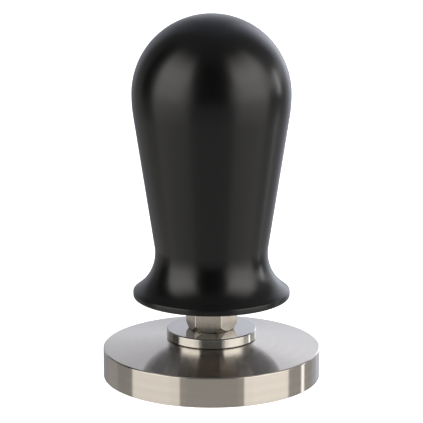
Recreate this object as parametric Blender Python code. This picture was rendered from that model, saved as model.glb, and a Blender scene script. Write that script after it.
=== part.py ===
"""Spring-calibrated espresso tamper with a 58 mm base, as its separate pieces.

The frame is +Z up in metres, and the origin is the centre of the tamping face.
Pieces of the base body stand still while the handle body slides down over the hexagonal stem
against the spring. Each piece is modelled in its own frame and then placed on its body.
Screw threads are plain cylinders at their outer diameter.
"""
import math

import bmesh
import bpy

MM = 0.001

# Clearances
CONTACT_GAP = 0.1 * MM
SLIDE_GAP = 0.15 * MM

# Tamping base
BASE_RADIUS = 29.0 * MM
BASE_EDGE_HEIGHT = 8.0 * MM
BASE_TOP_CHAMFER = 0.25 * MM
BASE_FOOT_CHAMFER = 0.1 * MM
SEAT_RADIUS = 12.3 * MM
SEAT_HEIGHT = 10.3 * MM
STUD_HOLE_DEPTH = 7.5 * MM

# Collar between the base and the stem
COLLAR_RADIUS = 12.0 * MM
COLLAR_THICKNESS = 2.65 * MM
COLLAR_CHAMFER = 0.25 * MM

# Hexagonal stem with an M8 stud below and an M6 tapped hole above
HEX_ACROSS_FLATS = 12.0 * MM
HEX_LENGTH = 20.7 * MM
HEX_CHAMFER_RADIUS = 6.05 * MM
HEX_CHAMFER_SLOPE = 0.58
STUD_RADIUS = 4.0 * MM
STUD_LENGTH = 9.4 * MM
STUD_CHAMFER = 0.5 * MM
STOP_HOLE_RADIUS = 3.1 * MM
STOP_HOLE_DEPTH = 16.5 * MM

# Stop stack on top of the stem
STOP_WASHER_RADIUS = 10.2 * MM
STOP_WASHER_THICKNESS = 2.0 * MM
STOP_SCREW_RADIUS = 3.0 * MM
STOP_SCREW_LENGTH = 18.0 * MM
STOP_HEAD_RADIUS = 5.0 * MM
STOP_HEAD_HEIGHT = 6.0 * MM
STOP_SOCKET_FLATS = 5.0 * MM
STOP_SOCKET_DEPTH = 3.0 * MM
LOCK_WASHER_RADIUS = 5.1 * MM
LOCK_WASHER_THICKNESS = 1.5 * MM
LOCK_WASHER_SPLIT = 0.9 * MM
LOCK_WASHER_SPLIT_ANGLE = 25.0
SCREW_CLEARANCE = 0.3 * MM
EDGE_BREAK = 0.3 * MM

# Spring and its two seats
WIRE_RADIUS = 1.15 * MM
COIL_RADIUS = 7.85 * MM
SPRING_LENGTH = 41.8 * MM
SPRING_TURNS = 12
CLOSED_TURNS = 1
GROUND_DEPTH = 0.45 * MM
SEAT_WALL = 1.5 * MM
SEAT_BOSS_HEIGHT = 2.6 * MM
LOWER_SEAT_SKIRT = 1.7 * MM
SEAT_BOSS_GAP = 0.3 * MM

# Handle shell
BORE_RADIUS = 11.2 * MM
HANDLE_BOTTOM = 21.85 * MM
DOME_RADIUS = 20.95 * MM
DOME_CENTRE_Z = 76.4 * MM
BARREL_ARC_RADIUS = 39.3 * MM
NECK_RADIUS = 15.03 * MM
NECK_Z = 33.8 * MM
NECK_ARC_RADIUS = 11.75 * MM
FLARE_ANGLE = 52.0
RIM_RADIUS = 20.9 * MM
RIM_TOP_FILLET = 0.3 * MM
RIM_FOOT_FILLET = 0.5 * MM
MOUTH_RADIUS = 17.5 * MM
MOUTH_DEPTH = 3.05 * MM
MOUTH_CHAMFER = 0.25 * MM

# Bottom cover, its screws and the guide bush
COVER_RECESS = 0.2 * MM
COVER_THICKNESS = 2.75 * MM
COVER_LIP_RADIUS = 7.5 * MM
COVER_LIP_HEIGHT = 0.7 * MM
SPIGOT_HEIGHT = 8.8 * MM
SPIGOT_BORE_RADIUS = 9.1 * MM
COVER_SCREW_COUNT = 3
COVER_SCREW_START_ANGLE = 90.0
COVER_SCREW_CIRCLE = 13.4 * MM
COVER_SCREW_RADIUS = 1.5 * MM
COVER_SCREW_LENGTH = 6.0 * MM
COVER_HEAD_RADIUS = 2.75 * MM
COVER_HEAD_HEIGHT = 1.45 * MM
COVER_SOCKET_FLATS = 2.0 * MM
COVER_SOCKET_DEPTH = 1.2 * MM
COVER_TAP_DEPTH = 4.6 * MM
BUSH_CLEARANCE = 0.1 * MM
BUSH_FLANGE_RADIUS = 10.7 * MM
BUSH_FLANGE_THICKNESS = 0.95 * MM

# Rubber rings
BUMPER_RADIUS = 9.0 * MM
BUMPER_SECTION = 0.9 * MM
SEAL_RADIUS = 16.2 * MM
SEAL_SECTION = 0.5 * MM
SEAL_GROOVE_SPACE = 0.06 * MM

# Calibration shims
SHIM_THICKNESS = 0.5 * MM
SHIM_COUNT = 2
SHIM_RADIUS = 10.9 * MM
SHIM_HOLE_RADIUS = 6.0 * MM

# Smoothness of round pieces
TURNED_STEPS = 60
INNER_STEPS = 36
SMALL_STEPS = 24
SECTION_STEPS = 6
COIL_STEPS = 12
HEX_SIDES = 6
DOME_STEPS = 10
BARREL_STEPS = 2
NECK_STEPS = 7
RIM_TOP_STEPS = 2
RIM_FOOT_STEPS = 3
SMOOTH_BELOW = math.radians(32)
MERGE_DISTANCE = 0.001 * MM

# Finishes: colour, roughness and metallic
BASE_STEEL = ((0.62, 0.60, 0.57), 0.25, 1.0)
COLLAR_STEEL = ((0.75, 0.74, 0.72), 0.06, 1.0)
STEM_STEEL = ((0.60, 0.57, 0.53), 0.2, 1.0)
WASHER_STEEL = ((0.55, 0.55, 0.56), 0.35, 1.0)
LOCK_WASHER_STEEL = ((0.35, 0.35, 0.36), 0.4, 1.0)
BLACK_STEEL = ((0.06, 0.06, 0.065), 0.4, 0.9)
BLACK_ACETAL = ((0.05, 0.05, 0.05), 0.5, 0.0)
SEAT_STEEL = ((0.5, 0.5, 0.51), 0.35, 1.0)
SHIM_STEEL = ((0.6, 0.6, 0.6), 0.3, 1.0)
SPRING_STEEL = ((0.42, 0.42, 0.43), 0.35, 1.0)
SATIN_BLACK = ((0.012, 0.012, 0.013), 0.4, 0.0)
BLACK_ANODISED = ((0.05, 0.05, 0.053), 0.35, 0.4)
SCREW_STEEL = ((0.5, 0.5, 0.5), 0.3, 1.0)
WHITE_ACETAL = ((0.75, 0.73, 0.68), 0.5, 0.0)
BLACK_RUBBER = ((0.02, 0.02, 0.02), 0.6, 0.0)

# Heights of the stacked pieces above the tamping face
COLLAR_Z = SEAT_HEIGHT + CONTACT_GAP
HEX_Z = COLLAR_Z + COLLAR_THICKNESS + CONTACT_GAP
STOP_WASHER_Z = HEX_Z + HEX_LENGTH + CONTACT_GAP
STACK_Z = STOP_WASHER_Z + STOP_WASHER_THICKNESS + CONTACT_GAP
STOP_HEAD_Z = STACK_Z + LOCK_WASHER_THICKNESS + CONTACT_GAP
SPRING_Z = STACK_Z + SEAT_WALL + CONTACT_GAP
UPPER_SEAT_Z = SPRING_Z + SPRING_LENGTH + CONTACT_GAP
SHIM_Z = UPPER_SEAT_Z + SEAT_WALL + CONTACT_GAP
SHIM_PITCH = SHIM_THICKNESS + CONTACT_GAP
BORE_TOP = SHIM_Z + SHIM_COUNT * SHIM_PITCH
COVER_Z = HANDLE_BOTTOM + COVER_RECESS
BUSH_Z = COVER_Z + COVER_LIP_HEIGHT + CONTACT_GAP
BUSH_FLANGE_Z = COVER_Z + SPIGOT_HEIGHT + CONTACT_GAP
BUMPER_Z = STOP_WASHER_Z - CONTACT_GAP - BUMPER_SECTION
SEAL_Z = HANDLE_BOTTOM + MOUTH_DEPTH - SEAL_SECTION


def arc(centre, radius, start, end, steps):
    """Points (r, z) along an arc between two angles in degrees, with both ends."""
    points = []
    for step in range(steps + 1):
        angle = math.radians(start + (end - start) * step / steps)
        points.append((centre[0] + radius * math.cos(angle), centre[1] + radius * math.sin(angle)))
    return points


def make_object(name, bm, parent=None):
    """Object from a finished bmesh, with round faces smooth and edges crisp."""
    bmesh.ops.remove_doubles(bm, verts=bm.verts, dist=MERGE_DISTANCE)
    bmesh.ops.recalc_face_normals(bm, faces=bm.faces)
    mesh = bpy.data.meshes.new(name)
    bm.to_mesh(mesh)
    bm.free()
    mesh.shade_smooth()
    mesh.set_sharp_from_angle(angle=SMOOTH_BELOW)
    obj = bpy.data.objects.new(name, mesh)
    obj.parent = parent
    bpy.context.collection.objects.link(obj)
    return obj


def turned(name, outline, steps=TURNED_STEPS, parent=None):
    """Body of revolution about Z; an outline that starts and ends on the axis stays open there."""
    bm = bmesh.new()
    points = [bm.verts.new((r, 0, z)) for r, z in outline]
    edges = [bm.edges.new(pair) for pair in zip(points, points[1:])]
    if outline[0][0] > 0:
        edges.append(bm.edges.new((points[-1], points[0])))
    bmesh.ops.spin(
        bm, geom=points + edges, cent=(0, 0, 0), axis=(0, 0, 1), angle=math.tau, steps=steps,
        use_merge=True,
    )
    return make_object(name, bm, parent)


def hexagon(name, across_flats, bottom, top, parent=None):
    """Hexagonal bar about Z with two of its corners on the X axis."""
    corner = across_flats / math.sqrt(3)
    return turned(name, [(0, bottom), (corner, bottom), (corner, top), (0, top)], HEX_SIDES, parent)


def boolean(target, cutter, operation):
    """Cut, join or intersect with a guide body that stays out of the model."""
    cutter.hide_render = True
    cutter.display_type = "WIRE"
    modifier = target.modifiers.new(cutter.name, "BOOLEAN")
    modifier.operation = operation
    modifier.solver = "EXACT"
    modifier.object = cutter


def ring_section(radius, section, z=0.0):
    """Closed round outline of an O-ring."""
    return arc((radius, z), section, 0, 360, SECTION_STEPS)[:-1]


def paint(obj, finish):
    """Give a piece its own material."""
    colour, roughness, metallic = finish
    material = bpy.data.materials.new(obj.name + "_finish")
    material.use_nodes = True
    shader = material.node_tree.nodes["Principled BSDF"]
    shader.inputs["Base Color"].default_value = (*colour, 1)
    shader.inputs["Roughness"].default_value = roughness
    shader.inputs["Metallic"].default_value = metallic
    obj.data.materials.append(material)


def make_tamping_base():
    """Steel disc with a shallow conical top, a flat seat for the collar and a blind tapped hole."""
    hole_radius = STUD_RADIUS + CONTACT_GAP
    hole_floor = SEAT_HEIGHT - STUD_HOLE_DEPTH
    rim = BASE_RADIUS - BASE_TOP_CHAMFER
    base = turned("tamping_base", [
        (0, 0),
        (BASE_RADIUS - BASE_FOOT_CHAMFER, 0),
        (BASE_RADIUS, BASE_FOOT_CHAMFER),
        (BASE_RADIUS, BASE_EDGE_HEIGHT - BASE_TOP_CHAMFER),
        (rim, BASE_EDGE_HEIGHT),
        (SEAT_RADIUS, SEAT_HEIGHT),
        (hole_radius, SEAT_HEIGHT),
        (hole_radius, hole_floor),
        (0, hole_floor),
    ])
    paint(base, BASE_STEEL)
    return base


def make_stem_collar():
    """Polished ring clamped between the base and the hexagonal stem."""
    inner = STUD_RADIUS + SCREW_CLEARANCE
    collar = turned("stem_collar", [
        (inner, 0),
        (COLLAR_RADIUS - COLLAR_CHAMFER, 0),
        (COLLAR_RADIUS, COLLAR_CHAMFER),
        (COLLAR_RADIUS, COLLAR_THICKNESS - COLLAR_CHAMFER),
        (COLLAR_RADIUS - COLLAR_CHAMFER, COLLAR_THICKNESS),
        (inner, COLLAR_THICKNESS),
    ])
    paint(collar, COLLAR_STEEL)
    return collar


def make_hex_stem():
    """Hexagonal bar with turned ends, the stud that holds the base and the stop screw's hole."""
    corner = HEX_ACROSS_FLATS / math.sqrt(3) + CONTACT_GAP
    chamfer = (corner - HEX_CHAMFER_RADIUS) / HEX_CHAMFER_SLOPE
    stem = turned("hex_stem", [
        (0, -STUD_LENGTH),
        (STUD_RADIUS - STUD_CHAMFER, -STUD_LENGTH),
        (STUD_RADIUS, STUD_CHAMFER - STUD_LENGTH),
        (STUD_RADIUS, 0),
        (HEX_CHAMFER_RADIUS, 0),
        (corner, chamfer),
        (corner, HEX_LENGTH - chamfer),
        (HEX_CHAMFER_RADIUS, HEX_LENGTH),
        (STOP_HOLE_RADIUS, HEX_LENGTH),
        (STOP_HOLE_RADIUS, HEX_LENGTH - STOP_HOLE_DEPTH),
        (0, HEX_LENGTH - STOP_HOLE_DEPTH),
    ], INNER_STEPS)
    flats = hexagon("hex_stem_flats", HEX_ACROSS_FLATS, -2 * STUD_LENGTH, 2 * HEX_LENGTH, stem)
    boolean(stem, flats, "INTERSECT")
    paint(stem, STEM_STEEL)
    return stem


def make_stop_washer():
    """Thick washer that the stem hangs from while the handle is at rest."""
    inner = STOP_SCREW_RADIUS + SCREW_CLEARANCE
    washer = turned("stop_washer", [
        (inner, 0),
        (STOP_WASHER_RADIUS - EDGE_BREAK, 0),
        (STOP_WASHER_RADIUS, EDGE_BREAK),
        (STOP_WASHER_RADIUS, STOP_WASHER_THICKNESS - EDGE_BREAK),
        (STOP_WASHER_RADIUS - EDGE_BREAK, STOP_WASHER_THICKNESS),
        (inner, STOP_WASHER_THICKNESS),
    ], INNER_STEPS)
    paint(washer, WASHER_STEEL)
    return washer


def make_lock_washer():
    """Split spring washer under the stop screw's head."""
    inner = STOP_SCREW_RADIUS + SCREW_CLEARANCE
    washer = turned("lock_washer", [
        (inner, 0),
        (LOCK_WASHER_RADIUS, 0),
        (LOCK_WASHER_RADIUS, LOCK_WASHER_THICKNESS),
        (inner, LOCK_WASHER_THICKNESS),
    ], SMALL_STEPS)
    width = LOCK_WASHER_RADIUS - inner
    bm = bmesh.new()
    bmesh.ops.create_cube(bm, size=1)
    bmesh.ops.scale(bm, verts=bm.verts, vec=(LOCK_WASHER_SPLIT, 2 * width, 4 * LOCK_WASHER_THICKNESS))
    split = make_object("lock_washer_split", bm, washer)
    split.location = (0, -inner - width / 2, LOCK_WASHER_THICKNESS / 2)
    split.rotation_euler = (0, math.radians(LOCK_WASHER_SPLIT_ANGLE), 0)
    boolean(washer, split, "DIFFERENCE")
    paint(washer, LOCK_WASHER_STEEL)
    return washer


def make_stop_screw():
    """M6 socket head screw; its own origin is under the head."""
    screw = turned("stop_screw", [
        (0, -STOP_SCREW_LENGTH),
        (STOP_SCREW_RADIUS - EDGE_BREAK, -STOP_SCREW_LENGTH),
        (STOP_SCREW_RADIUS, EDGE_BREAK - STOP_SCREW_LENGTH),
        (STOP_SCREW_RADIUS, 0),
        (STOP_HEAD_RADIUS, 0),
        (STOP_HEAD_RADIUS, STOP_HEAD_HEIGHT - EDGE_BREAK),
        (STOP_HEAD_RADIUS - EDGE_BREAK, STOP_HEAD_HEIGHT),
        (0, STOP_HEAD_HEIGHT),
    ], SMALL_STEPS)
    socket_floor = STOP_HEAD_HEIGHT - STOP_SOCKET_DEPTH
    socket = hexagon("stop_screw_socket", STOP_SOCKET_FLATS, socket_floor, 2 * STOP_HEAD_HEIGHT, screw)
    boolean(screw, socket, "DIFFERENCE")
    paint(screw, BLACK_STEEL)
    return screw


def make_lower_spring_seat():
    """Acetal cup that slides in the bore, fits round the stop washer and centres the spring."""
    outer = BORE_RADIUS - SLIDE_GAP
    skirt_inner = STOP_WASHER_RADIUS + CONTACT_GAP
    hole = LOCK_WASHER_RADIUS + SLIDE_GAP
    boss = COIL_RADIUS - WIRE_RADIUS - SEAT_BOSS_GAP
    seat = turned("lower_spring_seat", [
        (hole, 0),
        (skirt_inner, 0),
        (skirt_inner, -LOWER_SEAT_SKIRT),
        (outer, -LOWER_SEAT_SKIRT),
        (outer, SEAT_WALL),
        (boss, SEAT_WALL),
        (boss, SEAT_WALL + SEAT_BOSS_HEIGHT),
        (hole, SEAT_WALL + SEAT_BOSS_HEIGHT),
    ], INNER_STEPS)
    paint(seat, BLACK_ACETAL)
    return seat


def make_upper_spring_seat():
    """Disc at the top of the spring with a boss that centres the coil."""
    boss = COIL_RADIUS - WIRE_RADIUS - SEAT_BOSS_GAP
    seat = turned("upper_spring_seat", [
        (0, -SEAT_BOSS_HEIGHT),
        (boss - EDGE_BREAK, -SEAT_BOSS_HEIGHT),
        (boss, EDGE_BREAK - SEAT_BOSS_HEIGHT),
        (boss, 0),
        (SHIM_RADIUS, 0),
        (SHIM_RADIUS, SEAT_WALL),
        (0, SEAT_WALL),
    ], INNER_STEPS)
    paint(seat, SEAT_STEEL)
    return seat


def make_shim(number):
    """Thin ring that sets the spring's load."""
    shim = turned(f"calibration_shim_{number}", [
        (SHIM_HOLE_RADIUS, 0),
        (SHIM_RADIUS, 0),
        (SHIM_RADIUS, SHIM_THICKNESS),
        (SHIM_HOLE_RADIUS, SHIM_THICKNESS),
    ], INNER_STEPS)
    paint(shim, SHIM_STEEL)
    return shim


def coil_height(turn):
    """Height of the wire's centre after a number of turns, with closely wound end turns."""
    closed_pitch = 2 * WIRE_RADIUS + CONTACT_GAP
    low = WIRE_RADIUS - GROUND_DEPTH
    open_length = SPRING_LENGTH - 2 * low - 2 * CLOSED_TURNS * closed_pitch
    open_pitch = open_length / (SPRING_TURNS - 2 * CLOSED_TURNS)
    lower_turns = min(turn, CLOSED_TURNS)
    upper_turns = max(turn - (SPRING_TURNS - CLOSED_TURNS), 0)
    open_turns = turn - lower_turns - upper_turns
    return low + (lower_turns + upper_turns) * closed_pitch + open_turns * open_pitch


def make_spring():
    """Compression spring of round wire with closed and ground ends."""
    bm = bmesh.new()
    sections = []
    for step in range(SPRING_TURNS * COIL_STEPS + 1):
        turn = step / COIL_STEPS
        angle = math.tau * turn
        height = coil_height(turn)
        section = []
        for r, z in ring_section(COIL_RADIUS, WIRE_RADIUS, height):
            section.append(bm.verts.new((r * math.cos(angle), r * math.sin(angle), z)))
        sections.append(section)
    for lower, upper in zip(sections, sections[1:]):
        for index in range(SECTION_STEPS):
            following = (index + 1) % SECTION_STEPS
            bm.faces.new((lower[index], lower[following], upper[following], upper[index]))
    bm.faces.new(sections[0])
    bm.faces.new(sections[-1])
    spring = make_object("spring", bm)
    envelope = turned("spring_ground_ends", [
        (0, 0),
        (2 * COIL_RADIUS, 0),
        (2 * COIL_RADIUS, SPRING_LENGTH),
        (0, SPRING_LENGTH),
    ], SMALL_STEPS, spring)
    boolean(spring, envelope, "INTERSECT")
    paint(spring, SPRING_STEEL)
    return spring


def handle_outline():
    """Outer profile of the handle in its own frame, from the dome's pole down to the bottom face.

    The side is a straight taper that touches a convex barrel arc above and a concave neck arc
    below. The neck arc runs out into a straight flare that ends in the rim.
    """
    dome = (0, DOME_CENTRE_Z - HANDLE_BOTTOM)
    barrel = (DOME_RADIUS - BARREL_ARC_RADIUS, dome[1])
    neck = (NECK_RADIUS + NECK_ARC_RADIUS, NECK_Z - HANDLE_BOTTOM)
    across = neck[0] - barrel[0]
    down = barrel[1] - neck[1]
    centre_distance = math.hypot(across, down)
    taper = math.degrees(math.atan2(down, across))
    taper -= math.degrees(math.acos((BARREL_ARC_RADIUS + NECK_ARC_RADIUS) / centre_distance))
    flare = math.radians(FLARE_ANGLE)
    outline = arc(dome, DOME_RADIUS, 90, 0, DOME_STEPS)
    outline += arc(barrel, BARREL_ARC_RADIUS, 0, -taper, BARREL_STEPS)[1:]
    outline += arc(neck, NECK_ARC_RADIUS, 180 - taper, 180 + FLARE_ANGLE, NECK_STEPS)
    flare_r, flare_z = outline[-1]
    fillet_r = RIM_RADIUS - RIM_TOP_FILLET
    start_r = fillet_r + RIM_TOP_FILLET * math.cos(flare)
    start_z = flare_z - (start_r - flare_r) / math.tan(flare)
    fillet_z = start_z - RIM_TOP_FILLET * math.sin(flare)
    outline += arc((fillet_r, fillet_z), RIM_TOP_FILLET, FLARE_ANGLE, 0, RIM_TOP_STEPS)
    foot = (RIM_RADIUS - RIM_FOOT_FILLET, RIM_FOOT_FILLET)
    outline += arc(foot, RIM_FOOT_FILLET, 0, -90, RIM_FOOT_STEPS)
    return outline


def make_handle_shell():
    """Turned aluminium handle with the spring bore, a stepped mouth and three tapped holes."""
    bore_top = BORE_TOP - HANDLE_BOTTOM
    outline = handle_outline()
    outline[0] = (0, outline[0][1])
    shell = turned("handle_shell", outline + [
        (MOUTH_RADIUS + MOUTH_CHAMFER, 0),
        (MOUTH_RADIUS, MOUTH_CHAMFER),
        (MOUTH_RADIUS, MOUTH_DEPTH),
        (BORE_RADIUS, MOUTH_DEPTH),
        (BORE_RADIUS, bore_top),
        (0, bore_top),
    ])
    hole_radius = COVER_SCREW_RADIUS + CONTACT_GAP
    for number, (x, y) in enumerate(cover_screw_places(), 1):
        hole = turned(f"handle_shell_hole_{number}", [
            (0, MOUTH_DEPTH - COVER_TAP_DEPTH),
            (hole_radius, MOUTH_DEPTH - COVER_TAP_DEPTH),
            (hole_radius, MOUTH_DEPTH + COVER_TAP_DEPTH),
            (0, MOUTH_DEPTH + COVER_TAP_DEPTH),
        ], SMALL_STEPS, shell)
        hole.location = (x, y, 0)
        boolean(shell, hole, "DIFFERENCE")
    paint(shell, SATIN_BLACK)
    return shell


def cover_screw_places():
    """Centres (x, y) of the cover screws on their circle."""
    places = []
    for number in range(COVER_SCREW_COUNT):
        angle = math.radians(COVER_SCREW_START_ANGLE) + math.tau * number / COVER_SCREW_COUNT
        places.append((COVER_SCREW_CIRCLE * math.cos(angle), COVER_SCREW_CIRCLE * math.sin(angle)))
    return places


def make_bottom_cover():
    """Flanged cover: a spigot for the bush, a groove for the seal and countersunk screw holes."""
    spigot = BORE_RADIUS - CONTACT_GAP
    groove_inner = SEAL_RADIUS - SEAL_SECTION - SEAL_GROOVE_SPACE
    groove_outer = SEAL_RADIUS + SEAL_SECTION + SEAL_GROOVE_SPACE
    groove_floor = SEAL_Z - COVER_Z - SEAL_SECTION - SEAL_GROOVE_SPACE
    cover = turned("bottom_cover", [
        (COVER_LIP_RADIUS, 0),
        (MOUTH_RADIUS - CONTACT_GAP - EDGE_BREAK, 0),
        (MOUTH_RADIUS - CONTACT_GAP, EDGE_BREAK),
        (MOUTH_RADIUS - CONTACT_GAP, COVER_THICKNESS),
        (groove_outer, COVER_THICKNESS),
        (groove_outer, groove_floor),
        (groove_inner, groove_floor),
        (groove_inner, COVER_THICKNESS),
        (spigot, COVER_THICKNESS),
        (spigot, SPIGOT_HEIGHT),
        (SPIGOT_BORE_RADIUS, SPIGOT_HEIGHT),
        (SPIGOT_BORE_RADIUS, COVER_LIP_HEIGHT),
        (COVER_LIP_RADIUS, COVER_LIP_HEIGHT),
    ], INNER_STEPS)
    shank = COVER_SCREW_RADIUS + SLIDE_GAP
    head = COVER_HEAD_RADIUS + SLIDE_GAP
    for number, (x, y) in enumerate(cover_screw_places(), 1):
        hole = turned(f"bottom_cover_hole_{number}", [
            (0, -COVER_THICKNESS),
            (head, -COVER_THICKNESS),
            (head, CONTACT_GAP),
            (shank, COVER_HEAD_HEIGHT + CONTACT_GAP),
            (shank, 2 * COVER_THICKNESS),
            (0, 2 * COVER_THICKNESS),
        ], SMALL_STEPS, cover)
        hole.location = (x, y, 0)
        boolean(cover, hole, "DIFFERENCE")
    paint(cover, BLACK_ANODISED)
    return cover


def make_cover_screw(number):
    """M3 countersunk screw; its own origin is in the head's flat face, with the point up."""
    screw = turned(f"cover_screw_{number}", [
        (0, 0),
        (COVER_HEAD_RADIUS, 0),
        (COVER_SCREW_RADIUS, COVER_HEAD_HEIGHT),
        (COVER_SCREW_RADIUS, COVER_SCREW_LENGTH - EDGE_BREAK),
        (COVER_SCREW_RADIUS - EDGE_BREAK, COVER_SCREW_LENGTH),
        (0, COVER_SCREW_LENGTH),
    ], SMALL_STEPS)
    socket = hexagon(
        f"cover_screw_socket_{number}", COVER_SOCKET_FLATS, -COVER_SOCKET_DEPTH, COVER_SOCKET_DEPTH, screw,
    )
    boolean(screw, socket, "DIFFERENCE")
    paint(screw, SCREW_STEEL)
    return screw


def make_hex_guide_bush():
    """Acetal bush whose hexagonal hole guides the stem and stops the handle turning."""
    body = SPIGOT_BORE_RADIUS - CONTACT_GAP
    flange_bottom = BUSH_FLANGE_Z - BUSH_Z
    top = flange_bottom + BUSH_FLANGE_THICKNESS
    bush = turned("hex_guide_bush", [
        (0, 0),
        (body, 0),
        (body, flange_bottom),
        (BUSH_FLANGE_RADIUS, flange_bottom),
        (BUSH_FLANGE_RADIUS, top),
        (0, top),
    ], INNER_STEPS)
    hole = hexagon("hex_guide_bush_hole", HEX_ACROSS_FLATS + 2 * BUSH_CLEARANCE, -top, 2 * top, bush)
    boolean(bush, hole, "DIFFERENCE")
    paint(bush, WHITE_ACETAL)
    return bush


def make_bumper_ring():
    """Rubber ring that softens the handle's return against the stop washer."""
    ring = turned("bumper_ring", ring_section(BUMPER_RADIUS, BUMPER_SECTION), INNER_STEPS)
    paint(ring, BLACK_RUBBER)
    return ring


def make_cover_seal():
    """Rubber ring in the cover's groove that keeps water and coffee out of the bore."""
    ring = turned("cover_seal", ring_section(SEAL_RADIUS, SEAL_SECTION - SEAL_GROOVE_SPACE), INNER_STEPS)
    paint(ring, BLACK_RUBBER)
    return ring


def make_body(name, z):
    """Empty that carries the pieces of one rigid body, on the slide's axis."""
    body = bpy.data.objects.new(name, None)
    body.location = (0, 0, z)
    bpy.context.collection.objects.link(body)
    return body


def place(obj, body, z, x=0.0, y=0.0):
    """Put a piece on a body at a height above the tamping face."""
    obj.parent = body
    obj.location = (x, y, z - body.location.z)


def assemble_base():
    """Everything that stands still on the coffee while the handle is pressed."""
    body = make_body("base", 0)
    place(make_tamping_base(), body, 0)
    place(make_stem_collar(), body, COLLAR_Z)
    place(make_hex_stem(), body, HEX_Z)
    place(make_stop_washer(), body, STOP_WASHER_Z)
    place(make_lock_washer(), body, STACK_Z)
    place(make_lower_spring_seat(), body, STACK_Z)
    place(make_stop_screw(), body, STOP_HEAD_Z)
    place(make_spring(), body, SPRING_Z)


def assemble_handle():
    """Everything that slides down with the handle."""
    body = make_body("handle", HANDLE_BOTTOM)
    place(make_handle_shell(), body, HANDLE_BOTTOM)
    place(make_bottom_cover(), body, COVER_Z)
    place(make_hex_guide_bush(), body, BUSH_Z)
    place(make_bumper_ring(), body, BUMPER_Z)
    place(make_cover_seal(), body, SEAL_Z)
    for number, (x, y) in enumerate(cover_screw_places(), 1):
        place(make_cover_screw(number), body, COVER_Z, x, y)
    place(make_upper_spring_seat(), body, UPPER_SEAT_Z)
    for number in range(SHIM_COUNT):
        place(make_shim(number + 1), body, SHIM_Z + number * SHIM_PITCH)


for leftover in list(bpy.data.objects):
    bpy.data.objects.remove(leftover)
assemble_base()
assemble_handle()
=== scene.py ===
"""Looks of the spring-calibrated espresso tamper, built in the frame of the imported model."""
import math

import bmesh
import bpy
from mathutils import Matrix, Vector


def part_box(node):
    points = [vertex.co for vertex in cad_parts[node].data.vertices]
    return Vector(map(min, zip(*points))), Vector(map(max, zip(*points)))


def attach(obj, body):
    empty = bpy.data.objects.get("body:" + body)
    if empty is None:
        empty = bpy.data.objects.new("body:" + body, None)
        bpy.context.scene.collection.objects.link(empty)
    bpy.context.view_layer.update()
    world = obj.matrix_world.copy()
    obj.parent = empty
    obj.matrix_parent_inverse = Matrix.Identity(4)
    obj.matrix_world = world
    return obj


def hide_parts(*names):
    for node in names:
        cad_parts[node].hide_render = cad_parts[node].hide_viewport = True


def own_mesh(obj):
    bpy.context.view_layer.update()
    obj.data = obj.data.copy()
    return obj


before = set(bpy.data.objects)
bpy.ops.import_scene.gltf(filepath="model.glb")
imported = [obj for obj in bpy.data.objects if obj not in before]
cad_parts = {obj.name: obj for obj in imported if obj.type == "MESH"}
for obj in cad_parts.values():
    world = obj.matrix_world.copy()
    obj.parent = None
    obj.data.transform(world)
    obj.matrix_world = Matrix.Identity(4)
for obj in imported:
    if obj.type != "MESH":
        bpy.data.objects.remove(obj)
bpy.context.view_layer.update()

MM = 0.001

# Fineness of the meshes
FINE_STEPS = 192
HANDLE_STEPS = 240
INNER_STEPS = 96
SCREW_STEPS = 72
RING_STEPS = 144
RING_SIDES = 28
WIRE_SIDES = 20
COIL_STEPS = 40
SMOOTH_BELOW = math.radians(20)
MERGE_DISTANCE = 0.0005 * MM

# Rounded corners: the largest share of a side that one takes, and how far out its guard points lie,
# as a multiple of the corner's own reach
CORNER_SHARE = 0.4
GUARD_REACH = 1.2

# Thread form, as shares of the pitch or of the depth
THREAD_DEPTH = 0.61
THREAD_SLOPE = 1.25
THREAD_CREST = 0.12

# Shared by several pieces
EDGE_RADIUS = 0.05 * MM
THIN_EDGE = 0.08 * MM
CUT_OVERSHOOT = 1.0 * MM
THREAD_CLEARANCE = 0.1 * MM
M6_RADIUS = 3.0 * MM
M6_PITCH = 1.0 * MM
M6_POINT_CHAMFER = 0.4 * MM
M6_CLEAR_RADIUS = 3.3 * MM
M3_RADIUS = 1.5 * MM
M3_PITCH = 0.5 * MM
M3_POINT_CHAMFER = 0.3 * MM

# Base and collar
CONE_EDGE_HEIGHT = 8.0 * MM
BASE_TOP_CHAMFER = 0.25 * MM
BASE_FOOT_CHAMFER = 0.1 * MM
SEAT_RADIUS = 12.3 * MM
CONE_FINISH_RADIUS = 28.6 * MM
SIDE_FINISH_RADIUS = 28.9 * MM
COLLAR_CHAMFER = 0.25 * MM
COLLAR_EDGE = 0.06 * MM
COLLAR_BORE = 4.3 * MM

# Stem
STUD_RADIUS = 4.0 * MM
STUD_PITCH = 1.25 * MM
STUD_POINT_CHAMFER = 0.5 * MM
STUD_HOLE_DEPTH = 7.5 * MM
STEM_GAP = 0.1 * MM
TURNING_MARGIN = 0.2 * MM
HEX_CHAMFER_RADIUS = 6.05 * MM
HEX_CHAMFER_SLOPE = 0.58
HEX_CORNER_RADIUS = 0.2 * MM
FLAT_MARGIN = 0.03 * MM
# Heights between which painted shade darkens the hexagonal bar towards the collar
STEM_SHADE_LOW = 12.9 * MM
STEM_SHADE_HIGH = 16.0 * MM
STOP_HOLE_RADIUS = 3.1 * MM
STOP_HOLE_DEPTH = 16.5 * MM

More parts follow.
